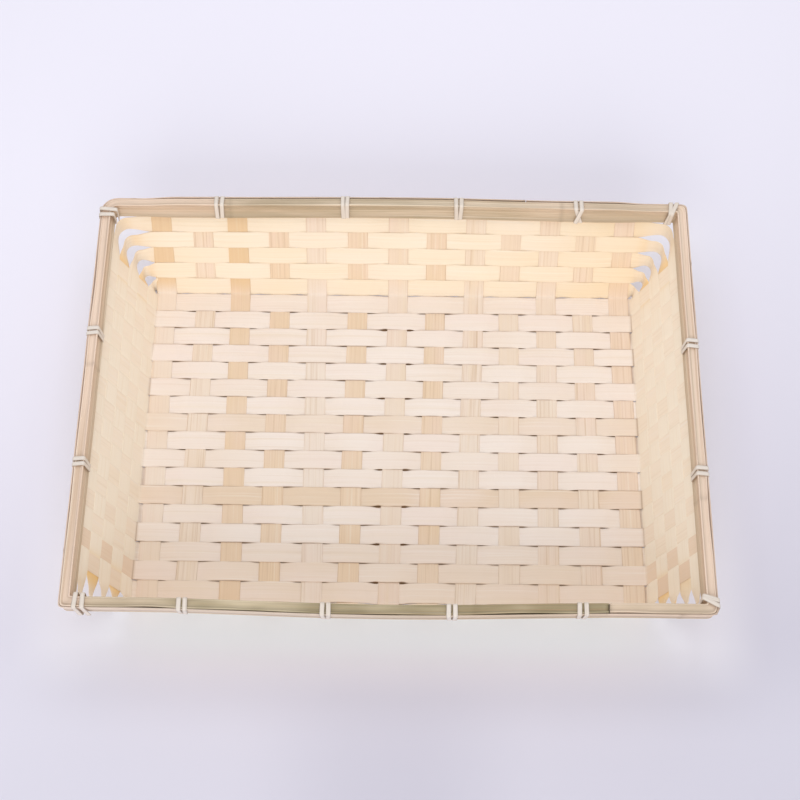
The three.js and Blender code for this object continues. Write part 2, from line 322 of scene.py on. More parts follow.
# noises of split bamboo, as grain takes them, with fibres and hairs across as many times as the look says
bambooGrain = {
    "blotch": (0.018, 0.035, 2.0, 0.5, 3.0),
    "broad": (0.006, 0.32, 2.0, 0.5, 7.0),
    # breaks up the brown edges, their own brown and painted shade
    "edgeBreak": (0.05, 0.02, 2.0, 0.5, 20.0),
    "fine": (0.01, 1.0, 3.0, 0.62, 0.0),
    "hair": (0.02, 2.7, 2.0, 0.6, 12.0),
    "relief": 0.00025,             # depth of the fibres, in metres
}


# split bamboo: pale body to warm body by the strip's tone, slow blotches, wall stretches nearer to one paler
# cream as painted light of the brighter walls, long fibres darker and lighter by the strip's own streakiness,
# edges browner, partly their own brown and partly painted shade, and warmer where the glow value is set,
# painted glow of light through the hoops, gold and tan on some warps and wefts
def bamboo(name, look):
    paint = Finish(name)

    # one of the noises, so many times closer across
    def noise(key, closer=1.0):
        along, across, *rest = bambooGrain[key]
        return paint.grain(along, across * closer, *rest)

    streak = paint.value("streak")
    blotch, broad, edgeBreak = [noise(key) for key in ("blotch", "broad", "edgeBreak")]
    fine, hair = [noise(key, look["fibreRate"]) for key in ("fine", "hair")]
    body = paint.mix(paint.value("tone"), look["pale"], look["warm"])
    body = paint.mix(paint.step(blotch, 0.42, 0.72) * look["blotch"], body, look["blush"])
    body = paint.mix(paint.step(broad, 0.5, 0.8) * look["broad"], body, look["deep"])
    # paler cream on the walls: painted light of the brighter walls
    body = paint.mix(paint.value("wall"), body, look["wall"])
    body = paint.mix(paint.step(fine, 0.5, 0.72) * streak * look["fibre"], body, look["dark"])
    body = paint.mix(paint.step(hair, 0.54, 0.76) * streak * look["hair"], body, look["dark"])
    body = paint.mix((1 - paint.step(fine, 0.28, 0.46)) * look["light"], body, look["bright"])
    # brown edges: partly the strip's own brown, partly painted shade along edges and gaps
    body = paint.mix(paint.value("edge") * paint.step(edgeBreak, 0.4, 0.62) * look["edge"], body, look["cut"])
    body = paint.mix(paint.value("glow"), body, look["lit"])
    return paint.finish({
        "Base Color": body,
        "Roughness": look["roughness"] + fine * 0.16 - 0.08,
        "Specular IOR Level": look["specular"],
        "Normal": paint.bump(fine * 0.7 + hair * 0.3, look["relief"], bambooGrain["relief"]),
    })


# Meshes

# closed tube from a grid of points (rows along the path, columns round the section), capped at both ends;
# faces are turned so that the signed volume is positive
def tubeMesh(name, points, fibre, values):
    rows, columns = points.shape[:2]
    index = np.arange(rows * columns).reshape(rows, columns)
    beside = np.roll(index, -1, axis=1)
    quads = np.stack([index[:-1], beside[:-1], beside[1:], index[1:]], -1).reshape(-1, 4)
    flat = points.reshape(-1, 3) * milli
    corners = flat[quads]
    volume = np.einsum("ij,ij->i", corners[:, 0], np.cross(corners[:, 1], corners[:, 2])).sum()
    volume += np.einsum("ij,ij->i", corners[:, 0], np.cross(corners[:, 2], corners[:, 3])).sum()
    caps = [index[0, ::-1], index[-1]]
    if volume < 0:
        quads = quads[:, ::-1]
        caps = [cap[::-1] for cap in caps]
    loops = np.concatenate([quads.ravel(), *caps])
    sizes = np.concatenate([np.full(len(quads), 4), [columns, columns]])
    starts = np.concatenate([[0], np.cumsum(sizes)[:-1]])
    mesh = bpy.data.meshes.new(name)
    mesh.vertices.add(len(flat))
    mesh.vertices.foreach_set("co", flat.astype(np.float32).ravel())
    mesh.loops.add(len(loops))
    mesh.loops.foreach_set("vertex_index", loops.astype(np.int32))
    mesh.polygons.add(len(sizes))
    mesh.polygons.foreach_set("loop_start", starts.astype(np.int32))
    mesh.polygons.foreach_set("use_smooth", np.append(np.ones(len(quads), bool), [False, False]))
    mesh.update(calc_edges=True)
    layer = mesh.uv_layers.new(name="fibre")
    layer.data.foreach_set("uv", fibre.reshape(-1, 2)[loops].astype(np.float32).ravel())
    for key, value in values.items():
        column = np.broadcast_to(value, (rows, columns)).astype(np.float32).ravel()
        mesh.attributes.new(key, "FLOAT", "POINT").data.foreach_set("value", column)
    mesh.validate()
    return mesh


# a new object in the scene
def addObject(name, data):
    holder = bpy.data.objects.new(name, data)
    bpy.context.scene.collection.objects.link(holder)
    return holder


# a piece of the tray: it takes its paint, rides on the one body and stands for its node
def place(name, mesh, material, slotName, node):
    piece = addObject(name, mesh)
    mesh.materials.append(material)
    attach(piece, "root")
    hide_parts(node)


# numbered pieces of one kind, a mesh for each numbered node
def placeAll(stem, nodeStem, count, meshOf, material, slotName):
    for index in range(count):
        number = f"{index + 1:02d}"
        place(stem + number, meshOf(index), material, slotName, nodeStem + number)


# a piece's own map for its fibres, mm along and across, with each piece in a part of the pattern of its own
def fibreMap(run, across, number, apart, start=0):
    return np.stack(np.broadcast_arrays(run + apart[0] * number + start, across + apart[1] * number), -1)


# section of a split strip: how far to each side, how far in from the edge in mm, which face, and how brown
# the edge is, partly its own brown and partly painted shade
stripSection = {
    "side": np.array([-1, -1, -0.5, 0, 0.5, 1, 1, 1, 1, 1, 1, 1, 0, -1, -1, -1, -1, -1.0]),
    "inset": np.array([0.18, 0.5, 0, 0, 0, 0.5, 0.18, 0.04, 0, 0, 0.04, 0.2, 0, 0.2, 0.04, 0, 0, 0.04]),
    "face": np.array([1, 1, 1, 1, 1, 1, 1, 0.85, 0.35, -0.35, -0.85, -1, -1, -1, -0.85, -0.35, 0.35, 0.85]),
    "edge": np.array([0.8, 0, 0, 0, 0, 0, 0.8, 1, 1, 1, 1, 0, 0, 0, 1, 1, 1, 1]),
    "crown": 0.04,
}


# section laid out for every row: sideways places from the half widths left and right, heights off the middle
def layOut(halfLeft, halfRight, thickness):
    side = stripSection["side"]
    half = np.where(side < 0, halfLeft[:, None], halfRight[:, None])
    across = side * half - np.sign(side) * stripSection["inset"]
    crown = stripSection["crown"] * (stripSection["face"] > 0.9) * (1 - (across / half) ** 2)
    lift = stripSection["face"] * np.reshape(thickness, (-1, 1)) / 2 + crown
    edge = np.broadcast_to(stripSection["edge"], across.shape)
    return across, lift, edge


# a strip's mesh, at the rows that are kept, with the values that its paint reads
def stripMesh(name, keep, points, fibre, tone, streak, wall, glow, edge):
    return tubeMesh(name, points[keep], fibre[keep], {
        "tone": np.clip(tone, 0, 1)[keep, None],
        "streak": streak,
        "wall": wall[keep, None],
        "glow": glow[keep, None],
        "edge": edge[keep],
    })


# what is added to a piece's seed for each of its wobbles
draws = {"edges": (0, 50), "sway": 20, "slit": 30, "tone": 70, "freeGlow": 90}


# slow wander of a strip's two edges, mm
def edgeWander(strip, seed, run):
    return [strip["edgeWander"] * wobble(seed + draw, run, *strip["edgeWave"]) for draw in draws["edges"]]


# tone along a strip: its own tone and a slow wander about it
def toneAlong(strip, tone, seed, run):
    return tone + strip["toneWander"] * wobble(seed + draws["tone"], run, *strip["toneWave"])


# level of a strip that passes over and under others: held over each crossing, eased to the other side between
def weaveLevel(run, crossings, signs, hold):
    spot = np.interp(run, crossings, np.arange(len(crossings)))
    first = np.clip(np.floor(spot).astype(int), 0, len(crossings) - 2)
    share = ease(hold, 1 - hold, spot - first)
    return signs[first] * (1 - share) + signs[first + 1] * share


# Warp strips: front to back in the floor, upright in the long walls

warp = {
    "step": 0.3,          # working step along the strip, mm
    "keep": 3,            # every so many steps becomes a row of the mesh
    "fold": 2.6,          # how softly the fold is rounded, in working steps
    "half": warpWidth / 2,
    "edgeWander": 0.10,
    "edgeWave": (25, 90),        # shortest and longest wave of that wander, mm
    "sway": 0.16,
    "swayWave": (90, 260),
    "swayFree": 0.8,      # share of the floor's half depth that sways in full
    # how far each strip lies to the right of its even place, at the back and at the front, mm
    "atBack": np.array([-1.5, 0, -2, -0.5, -1, 1, 2.5, 2.5, 3, 1.5, 1.5, 0.5, 0]),
    "atFront": np.array([1.5, 0, 2, 1, 2, -0.5, -0.5, -1.5, -3, -1.5, -2, -0.5, 0]),
    "tipDrop": 1.1,       # how far a tip stops below the top of the rim
    "tones": (0.25, 0.3, 0.95, 0.9, 0.05, 0.9, 0.3, 0.85, 0.2, 0.35, 0.3, 0.35, 0.6),
    "toneWander": 0.12,
    "toneWave": (30, 110),
    "streaks": (0.3, 0.9, 0.3, 0.8, 0.6, 0.5, 0.25, 0.8, 0.9, 0.3, 0.6, 0.9, 0.7),
    "wallEase": 10,       # height over which it takes on the look of the walls
    "wall": 0.1,          # how far the colour goes to the walls' paler common cream, painted light of the brighter walls
    "tan": 0.3,           # how much it tans on the walls
    "gold": {1: 0.5, 3: 0.5},    # how golden some strips are on the back wall
    "apart": (500, 37),   # from strip to strip in the fibre pattern
    "seed": 100,
    "look": {
        "pale": tint(242, 228, 214), "warm": tint(236, 210, 180), "blush": tint(240, 214, 200),
        "deep": tint(234, 212, 176), "dark": tint(206, 176, 142), "bright": tint(246, 234, 218),
        "wall": tint(248, 230, 202), "lit": tint(226, 188, 130), "cut": tint(176, 140, 104),
        "fibreRate": 0.85, "blotch": 0.4, "broad": 0.35, "fibre": 0.65, "hair": 0.4, "light": 0.4,
        "edge": 0.35, "roughness": 0.58, "specular": 0.3, "relief": 0.25,
    },
}


# place of each warp at a depth: slants evenly from the front fold to the back fold
def warpAt(depth):
    share = np.clip(np.asarray(depth) / halfDepth / 2 + 0.5, 0, 1)[..., None]
    return warpPlaces + warp["atFront"] * (1 - share) + warp["atBack"] * share


backWall["crossings"] = warpAt(halfDepth)
frontWall["crossings"] = -warpAt(-halfDepth)[::-1]


# a strip end that would stand in a tie's way stops below it
def isCutShort(wall, along):
    reach = (wall["width"] + tieWidth) / 2 + cord["clearance"]
    return any(abs(spot - along) < reach for spot in wall["ties"].values())


# height of a strip's tip: top of the hoops under a tie, else a little below the top of the rim
def tipOf(wall, along):
    return hoopTop if isCutShort(wall, along) else wallSlant + rim["height"] - warp["tipDrop"]


# working steps from tip to tip, a whole number of kept rows
def stripRun(low, high, strip):
    count = int((high - low) / strip["step"]) // strip["keep"] * strip["keep"]
    return np.linspace(low, high, count + 1)


# strip surface: softened middle points, then each section point lifted along the strip's own normal
def stripPoints(middle, across, lift, soft):
    middle = soften(middle, soft)
    run = unit(np.gradient(middle, axis=0))
    normal = unit(np.cross(run, across))
    return middle + normal * lift[..., None]


# warp: straight along y in the floor, up both slopes past the folds
def warpMesh(column):
    x = warpPlaces[column]
    run = stripRun(-(halfDepth + tipOf(frontWall, -x)), halfDepth + tipOf(backWall, x), warp)
    keep = slice(None, None, warp["keep"])
    seed = warp["seed"] + column
    left, right = [warp["half"] + wander for wander in edgeWander(warp, seed, run)]
    across, lift, edge = layOut(left, right, weave["seenThickness"])
    sway = warp["sway"] * wobble(seed + draws["sway"], run, *warp["swayWave"])
    sway = sway * ease(halfDepth, halfDepth * warp["swayFree"], np.abs(run))
    spot = (warpAt(run)[:, column] + sway)[:, None] + across
    long = np.broadcast_to(run[:, None], spot.shape)
    slant = np.abs(long) - halfDepth
    flat = np.stack([spot, long, np.full(spot.shape, floorLevel)], -1)
    onBack = wallPoint(backWall, spot, np.maximum(slant, 0))
    onFront = wallPoint(frontWall, -spot, np.maximum(slant, 0))
    upWall = np.where((long > 0)[..., None], onBack, onFront)
    middle = np.where((slant < 0)[..., None], flat, upWall)
    points = stripPoints(middle, np.array([-1.0, 0, 0]), lift, warp["fold"])
    fibre = fibreMap(long, across, column, warp["apart"])
    upright = ease(0, warp["wallEase"], np.abs(run) - halfDepth)
    tone = toneAlong(warp, warp["tones"][column], seed, run) + warp["tan"] * upright
    wall = warp["wall"] * upright
    gold = warp["gold"].get(column + 1, 0) * upright * (run > 0)
    name = f"warp{column + 1:02d}"
    return stripMesh(name, keep, points, fibre, tone, warp["streaks"][column], wall, gold, edge)


warpPaint = bamboo("warpBamboo", warp["look"])
placeAll("warpStrip", "warp_strip_", warpCount, warpMesh, warpPaint, "warp_bamboo")
print("warp strips:", warpCount)

# Weft strips: left to right over and under the warps, upright in the short walls

weft = {
    "step": 0.3,
    "keep": 3,
    "fold": 2.6,
    "hold": 0.3,           # share of a pitch to each side over which a crossing is held
    "half": weftPitch / 2 - 0.03,
    "stakeHalf": 4.95,     # half width where it stands in a wall
    "hem": 0.45,           # how far the first and last rows reach on towards the folds, twice so where under
    "floorEnd": (2.5, 2.0),      # mm past and before the fold between which the look of the floor ends
    "taper": (3.5, 1.0),   # the same for the width of the floor
    "bulge": 0.03,         # wider where it passes over, narrower where it passes under
    "lens": 0.58,          # how deep the open lens beside a crossing cuts into an edge
    "lensSpan": (5.0, 6.3, 10.4),    # where a lens starts, is deepest and ends, from the warp's middle
    "lensColumns": {7: 1.0, 2: 0.15, 8: 0.19, 10: 0.23, 11: 0.27, 12: 0.27, 13: 0.23},
    "lensPlain": 0.05,
    "lensRange": (0.6, 1.0),     # least and most of a lens beside one warp
    "lensChance": 0.4,     # of a lens, which its depth adds to
    "lensSeed": 41,
    "edgeWander": 0.05,
    "edgeWave": (20, 80),
    "foldShade": 0.65,        # width of the brown painted shade in a fold
    "foldShadeSpread": 0.4,   # how much broader it is where the strip comes from below
    "tones": {8: 0.6, 12: 1.0, 1: 0.2, 15: 0.35, 16: 0.5, 17: 0.5, 6: 0.2, 10: 0.2},
    "plainTone": 0.1,
    "toneWander": 0.13,
    "toneWave": (40, 160),
    # how tan a row's left and right ends are on the walls
    "tan": {14: (0.1, 0.12), 16: (0.4, 0.38), 17: (0.2, 0.48)},
    "streak": 0.5,
    # how far the colour goes to the paler cream on the short walls, painted light of the brighter walls
    "wall": 0.85,
    "wallEdge": 0.15,      # how much of its edges' brown, partly own colour and partly painted shade, stays on the walls
    "apart": (500, 41),
    "patternStart": 7000,  # keeps clear of the warps' pattern
    "seed": 300,
    "look": {
        "pale": tint(247, 235, 225), "warm": tint(235, 212, 186), "blush": tint(246, 228, 220),
        "deep": tint(240, 224, 200), "dark": tint(220, 196, 168), "bright": tint(251, 243, 235),
        "wall": tint(254, 240, 220), "lit": tint(229, 193, 162), "cut": tint(158, 122, 88),
        "fibreRate": 0.8, "blotch": 0.4, "broad": 0.3, "fibre": 0.4, "hair": 0.25, "light": 0.4,
        "edge": 0.7, "roughness": 0.52, "specular": 0.35, "relief": 0.2,
    },
}
lensDice = np.random.default_rng(weft["lensSeed"])
lensDepth = np.array([weft["lensColumns"].get(k + 1, weft["lensPlain"]) for k in range(warpCount)])
lensSize = lensDepth * lensDice.uniform(*weft["lensRange"], (weftCount + 1, warpCount))
lensSize *= lensDice.random(lensSize.shape) < weft["lensChance"] + lensDepth


# weft: level follows the crossings, edges bulge over a warp and open in a lens just beside one
def weftMesh(row):
    y = weftPlaces[row]
    signs = np.where((row + np.arange(warpCount)) % 2 == 0, -1.0, 1.0)
    endLevels = weave["seenWave"] * signs[[0, -1]]
    folds = halfLength + endLevels * np.tan(weave["flare"])
    feet = endLevels / np.cos(weave["flare"])
    low = -(folds[0] + tipOf(leftWall, y) - feet[0])
    high = folds[1] + tipOf(rightWall, -y) - feet[1]
    run = stripRun(low, high, weft)
    keep = slice(None, None, weft["keep"])
    seed = weft["seed"] + row
    places = warpAt(y)
    level = weaveLevel(run, places, signs, weft["hold"])
    onFloor, spread = [
        ease(halfLength + past, halfLength - before, np.abs(run))
        for past, before in (weft["floorEnd"], weft["taper"])]
    away = np.abs(run[:, None] - places)
    lensStart, lensMiddle, lensEnd = weft["lensSpan"]
    lens = ease(lensStart, lensMiddle, away) * ease(lensEnd, lensMiddle, away)
    over = signs > 0
    nearCut = weft["lens"] * (lens * lensSize[row + 1] * over).sum(1)
    farCut = weft["lens"] * (lens * lensSize[row] * ~over).sum(1)
    half = weft["stakeHalf"] + (weft["half"] - weft["stakeHalf"] + weft["bulge"] * level) * spread
    hem = weft["hem"] * onFloor * (1 + np.clip(-level, 0, 1))
    nearWander, farWander = edgeWander(weft, seed, run)
    left = half - nearCut + nearWander + hem * (row == weftCount - 1)
    right = half - farCut + farWander + hem * (row == 0)
    thickness = weave["wallThickness"] + (weave["seenThickness"] - weave["wallThickness"]) * onFloor
    across, lift, edge = layOut(left, right, thickness)
    spot = y + across
    long = np.broadcast_to(run[:, None], spot.shape)
    fold = np.where(run < 0, folds[0], folds[1])[:, None]
    foot = np.where(run < 0, feet[0], feet[1])[:, None]
    slant = np.abs(long) - fold + foot
    isWall = np.abs(long) > fold
    height = np.broadcast_to((floorLevel + weave["seenWave"] * level)[:, None], spot.shape)
    flat = np.stack([long, spot, height], -1)
    onLeft = wallPoint(leftWall, spot, np.where(isWall, slant, 0))
    onRight = wallPoint(rightWall, -spot, np.where(isWall, slant, 0))
    upWall = np.where((long < 0)[..., None], onLeft, onRight)
    middle = np.where(isWall[..., None], upWall, flat)
    points = stripPoints(middle, np.array([0.0, 1, 0]), lift, weft["fold"])
    fibre = fibreMap(long, across, row, weft["apart"], weft["patternStart"])
    # painted shade in the fold: brown along the fold line, broader and set further in where the strip comes
    # up from below
    sunk = np.where(run < 0, signs[0], signs[-1]) < 0
    past = np.abs(run) - fold[:, 0] + weft["foldShade"] * sunk
    foldShade = np.exp(-(past / (weft["foldShade"] * (1 + weft["foldShadeSpread"] * sunk))) ** 2)
    edge = edge * (weft["wallEdge"] + (1 - weft["wallEdge"]) * onFloor[:, None])
    edge = np.maximum(edge, foldShade[:, None])
    wall = weft["wall"] * (1 - onFloor)
    tan = np.where(run < 0, *weft["tan"].get(row + 1, (0, 0))) * (1 - onFloor)
    tone = toneAlong(weft, weft["tones"].get(row + 1, weft["plainTone"]), seed, run)
    name = f"weft{row + 1:02d}"
    return stripMesh(name, keep, points, fibre, tone, weft["streak"], wall, tan, edge)


weftPaint = bamboo("weftBamboo", weft["look"])
placeAll("weftStrip", "weft_strip_", weftCount, weftMesh, weftPaint, "weft_bamboo")
print("weft strips:", weftCount)

# Wall hoops: in and out round the four walls, free at the corners

hoop = {
    "step": 0.5,
    "keep": 2,
    "soft": 1.6,
    "half": hoopPitch / 2 - 0.03,
    "hem": 0.4,            # how far the lowest hoop reaches on down to the fold
    "slit": 0.25,          # how far it stays clear of the fold in places on the short walls
    "slitWave": (40, 90),
    "slitRange": (-0.1, 0.5),    # part of that wave over which the slit opens
    "slitEnds": (4, 14),   # mm from the long walls' folds over which it closes
    "tuck": 0.8,           # how far a hoop reaches down behind the next where it lies outside
    "tuckFrom": 0.25,      # level outside from which it does
    "lift": 0.9,           # how far the top hoop reaches up to the rim at the corners
    "late": {"right": 0.4},      # share of the free run that still leans, by the wall before the corner
    "bulge": 0.08,
    "longHold": 0.24,
    "shortHold": 0.42,
    "edgeWander": 0.05,
    "edgeWave": (25, 90),
    "tones": (0.35, 0.20, 0.30, 0.15, 0.30),
    "toneWander": 0.2,
    "toneWave": (40, 180),
    "tan": 0.6,            # how much the back wall tans towards the right
    "tanSpan": (20, 150),
    "backShare": (0.8, 1.0),     # share of the half depth from which a place counts as the back wall
    "streak": 0.5,
    "wall": 0.85,          # how far the colour goes to the paler cream on the short walls, painted light of the brighter walls
    "cornerWall": 0.6,     # share of that at the corners
    "fadedEdge": 0.85,     # how much of its edges' brown, partly own colour and partly painted shade, is lost on the short walls
    # how warmly the light shines through each hoop, from the floor up, at a wall's start and at its finish
    "lit": {
        "left": ((0, 1, 0, 1, 0), (0, 0.9, 0, 0.8, 0)),
        "right": ((0, 1, 0, 0.8, 0), (0, 1, 0, 0.4, 0)),
        "front": ((0,), (0,)),
        "back": ((0,), (0,)),
    },
    "litSpan": (12, 3),    # mm before the wall's end over which that light comes up
    "litSoft": 5,          # how softly it fades, in working steps
    "cornerLit": 0.35,     # painted glow of light through the free runs, how warm in places
    "cornerLitWave": (12, 40),
    "cornerLitRange": (0.0, 0.9),
    "apart": (1500, 43),
    "seed": 500,
    "look": {
        "pale": tint(249, 235, 214), "warm": tint(245, 224, 192), "blush": tint(248, 230, 212),
        "deep": tint(246, 226, 194), "dark": tint(224, 198, 158), "bright": tint(252, 242, 226),
        "wall": tint(254, 243, 226), "lit": tint(250, 208, 132), "cut": tint(186, 150, 108),
        "fibreRate": 0.7, "blotch": 0.4, "broad": 0.3, "fibre": 0.35, "hair": 0.2, "light": 0.4,
        "edge": 0.4, "roughness": 0.52, "specular": 0.35, "relief": 0.2,
    },
}


# how warmly one hoop is lit at a wall's start and at its finish
def litAt(wall, number):
    return [lit[number % len(lit)] for lit in hoop["lit"][wall["name"]]]


# one wall's stretch of a hoop: middle line, outward side, lean, inward offset, glow, how free it is of
# upright strips and whether the wall is a short one, for each row
def hoopOnWall(wall, number, slant, first, low, high):
    along = evenPlaces(low, high, hoop["step"])
    signs = np.where((first + np.arange(len(wall["crossings"]))) % 2 == 0, 1.0, -1.0)
    hold = hoop["longHold"] if wall["bow"] else hoop["shortHold"]
    level = weaveLevel(along, wall["crossings"], signs, hold)
    middle = wallPoint(wall, along, slant + 0 * along)
    normal = np.broadcast_to(wall["normal"], middle.shape)
    isShort = np.full(along.shape, 0.0 if wall["bow"] else 1.0)
    litFrom, litFull = [wall["end"] - before for before in hoop["litSpan"]]
    glow = np.where(along < 0, *litAt(wall, number)) * ease(litFrom, litFull, np.abs(along))
    return [middle, normal, leanOf(wall, along), level, glow, 0 * along, isShort]


# round a corner: straight on past the last strip, a short elliptical bend and straight again; the free run
# stands upright, hangs a little low and crosses to the other side in the bend
def hoopOnCorner(wall, ahead, number, slant, last):
    out = wall["reach"] + slant * np.sin(weave["flare"]) - ahead["end"]
    side = ahead["reach"] + slant * np.sin(weave["flare"]) - wall["end"]
    bend = weave["cornerShare"]
    count = max(int(max(out, side) * (1 - bend) / hoop["step"]), 3)
    steps = np.arange(1, count + 1) / count
    none = np.zeros(count)
    angle = np.concatenate([none, steps * np.pi / 2, none[1:] + np.pi / 2])[:, None]
    start = np.concatenate([steps, none + 1, none[1:] + 1])[:, None]
    finish = np.concatenate([none, none, steps[:-1]])[:, None]
    free = ease(hoop["late"].get(wall["name"], 0), 1, start) * ease(1, 0, finish)
    along = wall["end"] + side * (start * (1 - bend) + bend * np.sin(angle))
    away = ahead["end"] + out * ((1 - finish) * (1 - bend) + bend * np.cos(angle))
    height = floorLevel + slant * np.cos(weave["flare"]) - weave["cornerSag"] * free
    middle = wall["along"] * along + wall["normal"] * away + zUp * height
    normal = unit(wall["normal"] * side * np.cos(angle) + wall["along"] * out * np.sin(angle))
    lean = weave["flare"] * (1 - free[:, 0])
    level = last * np.cos(2 * angle[:, 0])
    progress = (start + angle / np.pi * 2 + finish)[:, 0] / 3
    isShort = 1 - progress if ahead["bow"] else progress
    leave = litAt(wall, number)[1] * (1 - start)
    arrive = litAt(ahead, number)[0] * finish
    return [middle, normal, lean, level, (leave + arrive)[:, 0], free[:, 0], isShort]


# hoop: the stretches joined from the seam right round, section lifted inward and spread up the slope
def hoopMesh(number):
    slant = weave["hoopStart"] + weave["hoopWidth"] / 2 + number * hoopPitch
    seam = warpPlaces[warpCount // 2 - number % 2]
    count = number + 1
    stretches = [hoopOnWall(frontWall, number, slant, count, seam + rim["seam"] / 2, frontWall["end"])]
    for index, wall in enumerate(walls):
        ahead = walls[(index + 1) % 4]
        if index:
            stretches.append(hoopOnWall(wall, number, slant, count, -wall["end"], wall["end"]))
        count += len(wall["crossings"])
        last = 1.0 if (count - 1) % 2 == 0 else -1.0
        stretches.append(hoopOnCorner(wall, ahead, number, slant, last))
    finish = seam - rim["seam"] / 2
    stretches.append(hoopOnWall(frontWall, number, slant, number + 1, -frontWall["end"], finish))
    middle, normal, lean, level, glow, free, isShort = [np.concatenate(parts) for parts in zip(*stretches)]
    run = travelled(middle)
    seed = hoop["seed"] + number
    half = hoop["half"] + hoop["bulge"] * level
    sunk = np.clip((-level - hoop["tuckFrom"]) / (1 - hoop["tuckFrom"]), 0, 1)
    slit = ease(*hoop["slitRange"], wobble(seed + draws["slit"], run, *hoop["slitWave"]))
    slit = hoop["slit"] * isShort * slit * (1 - free)
    slit = slit * ease(*[halfDepth - before for before in hoop["slitEnds"]], np.abs(middle[:, 1]))
    lowWander, highWander = edgeWander(hoop, seed, run)
    low = half + lowWander + hoop["tuck"] * sunk * (1 - free)
    low = low + (hoop["hem"] * (1 - free) - slit) * (number == 0)
    high = half + highWander + hoop["lift"] * free * (number == hoopCount - 1)
    thickness = weave["seenThickness"] + (weave["wallThickness"] - weave["seenThickness"]) * isShort
    wave = weave["seenWave"] + (weave["wallWave"] - weave["seenWave"]) * isShort
    across, lift, edge = layOut(low, high, thickness)
    inward = soften(inwardOf(normal, lean), hoop["soft"])[:, None]
    rise = soften(riseOf(normal, lean), hoop["soft"])[:, None]
    line = soften(middle + inward[:, 0] * (wave * level)[:, None], hoop["soft"])[:, None]
    points = line + rise * across[..., None] + inward * lift[..., None]
    keep = np.unique(np.append(np.arange(0, len(run), hoop["keep"]), len(run) - 1))
    fibre = fibreMap(run[:, None], across, number, hoop["apart"])
    onBack = ease(*hoop["backShare"], middle[:, 1] / halfDepth)
    tone = toneAlong(hoop, hoop["tones"][number], seed, run)
    tone = tone + hoop["tan"] * ease(*hoop["tanSpan"], middle[:, 0]) * onBack
    # painted glow of light through the hoop: near the wall ends and in patches on the free runs
    freeGlow = wobble(seed + draws["freeGlow"], run, *hoop["cornerLitWave"])
    freeGlow = ease(*hoop["cornerLitRange"], freeGlow)
    glow = soften(glow[:, None], hoop["litSoft"])[:, 0] + hoop["cornerLit"] * free * freeGlow
    wall = hoop["wall"] * np.maximum(isShort, hoop["cornerWall"] * free)
    edge = edge * (1 - hoop["fadedEdge"] * isShort[:, None] * ((number > 0) | (across > 0)))
    name = f"hoop{number + 1:02d}"
    return stripMesh(name, keep, points, fibre, tone, hoop["streak"], wall, glow, edge)


hoopPaint = bamboo("hoopBamboo", hoop["look"])
placeAll("wallHoop", "wall_hoop_", hoopCount, hoopMesh, hoopPaint, "hoop_bamboo")
print("wall hoops:", hoopCount)

# Rim hoops: two stout split strips that clamp the strip tips between them

rimHoop = {
    "step": 2.0,
    "cornerSteps": 14,
    "round": 0.35,          # rounding of the long edges, mm
    "roundShare": 0.4,      # most of the thickness that the rounding takes
    "beside": 0.4,          # from the rounding to the close row beside it, mm
    # corner radius at the strip tips and power of the rounded square there, by the wall before the corner
    "corner": {"front": (4.3, 8.0), "left": (6.2, 2.2), "back": (4.4, 6.0), "right": (4.3, 5.0)},
    # faces at the slot and away from it, counted inward from the strip tips, how far the slot opens, how
    # green and how much paler the skin is, and how much further off the hoop lies along the back
    "inner": {
        "near": -2.1, "far": rimHalfSpan, "open": 0.55,
        "green": 1.0, "paling": 0.0, "push": 0.0, "seed": 7,
    },
    "outer": {
        "near": -2.3, "far": -rimHalfSpan, "open": 0.0,
        "green": 0.3, "paling": 0.25, "push": 0.6, "seed": 8,
    },
    # share of that opening between the ties, wall by wall in its running direction
    "gape": {
        "front": (0.7, 1.0, 0.5, 0.4, 0.8), "left": (0.35, 0.45, 0.95),
        "back": (0.4, 0.6, 0.4, 0.5, 0.3), "right": (0.4, 0.5, 0.9),
    },
    # green of the skin at places along each wall
    "green": {
        "front": (
            (-160, 0.35), (-107.1, 0.35), (-106.9, 1.0), (-40, 1.0),
            (85, 0.92), (120, 0.55), (146, 0.5), (150, 0.1)),
        "left": ((0, 0.05),),
        "back": ((-98, 0.15), (-92, 0.5), (60, 0.5), (80, 0.35)),
        "right": ((0, 0.1),),
    },
    "palingSpan": (60, -40),      # from right to left in front, over which the skin turns paler
    "frontShare": (-0.8, -1.0),   # share of the half depth from which a place counts as the front wall
    "taller": (0.6, 0.8),   # how much further the rim reaches down and up along the back
    "tallerEnds": (6, 14),  # mm past and before the back wall's end between which that ends
    "topShare": (0.55, 0.95),     # part of the half height over which the face turns into the top
    "waver": 0.16,          # unevenness of the split faces
    "faceWave": (40, 200),
    "topWave": (60, 240),
    "knotWidth": 1.3,
    "knotSwell": 0.15,
    "innerKnots": (64.0, 262.0, 395.0, 560.0, 742.0, 980.0),   # joints of the cane, mm from the seam
    "outerKnots": (118.0, 330.0, 505.0, 655.0, 873.0, 1010.0),
    "apart": (0, 60),
    "look": {
        "straw": tint(209, 195, 164), "rose": tint(246, 221, 202), "olive": tint(141, 128, 92),
        "face": tint(195, 170, 138), "brown": tint(182, 152, 116), "pale": tint(243, 228, 204),
        "paled": tint(248, 236, 226), "knot": tint(100, 74, 48),
    },
    # noises of the cane, as grain takes them
    "grain": {
        "broad": (0.005, 0.55, 2.0, 0.5, 2.0),
        "fine": (0.008, 1.6, 3.0, 0.6, 5.0),
        "patch": (0.02, 0.06, 2.0, 0.5, 9.0),
        "spot": (0.35, 0.9, 2.0, 0.5, 14.0),
    },
}


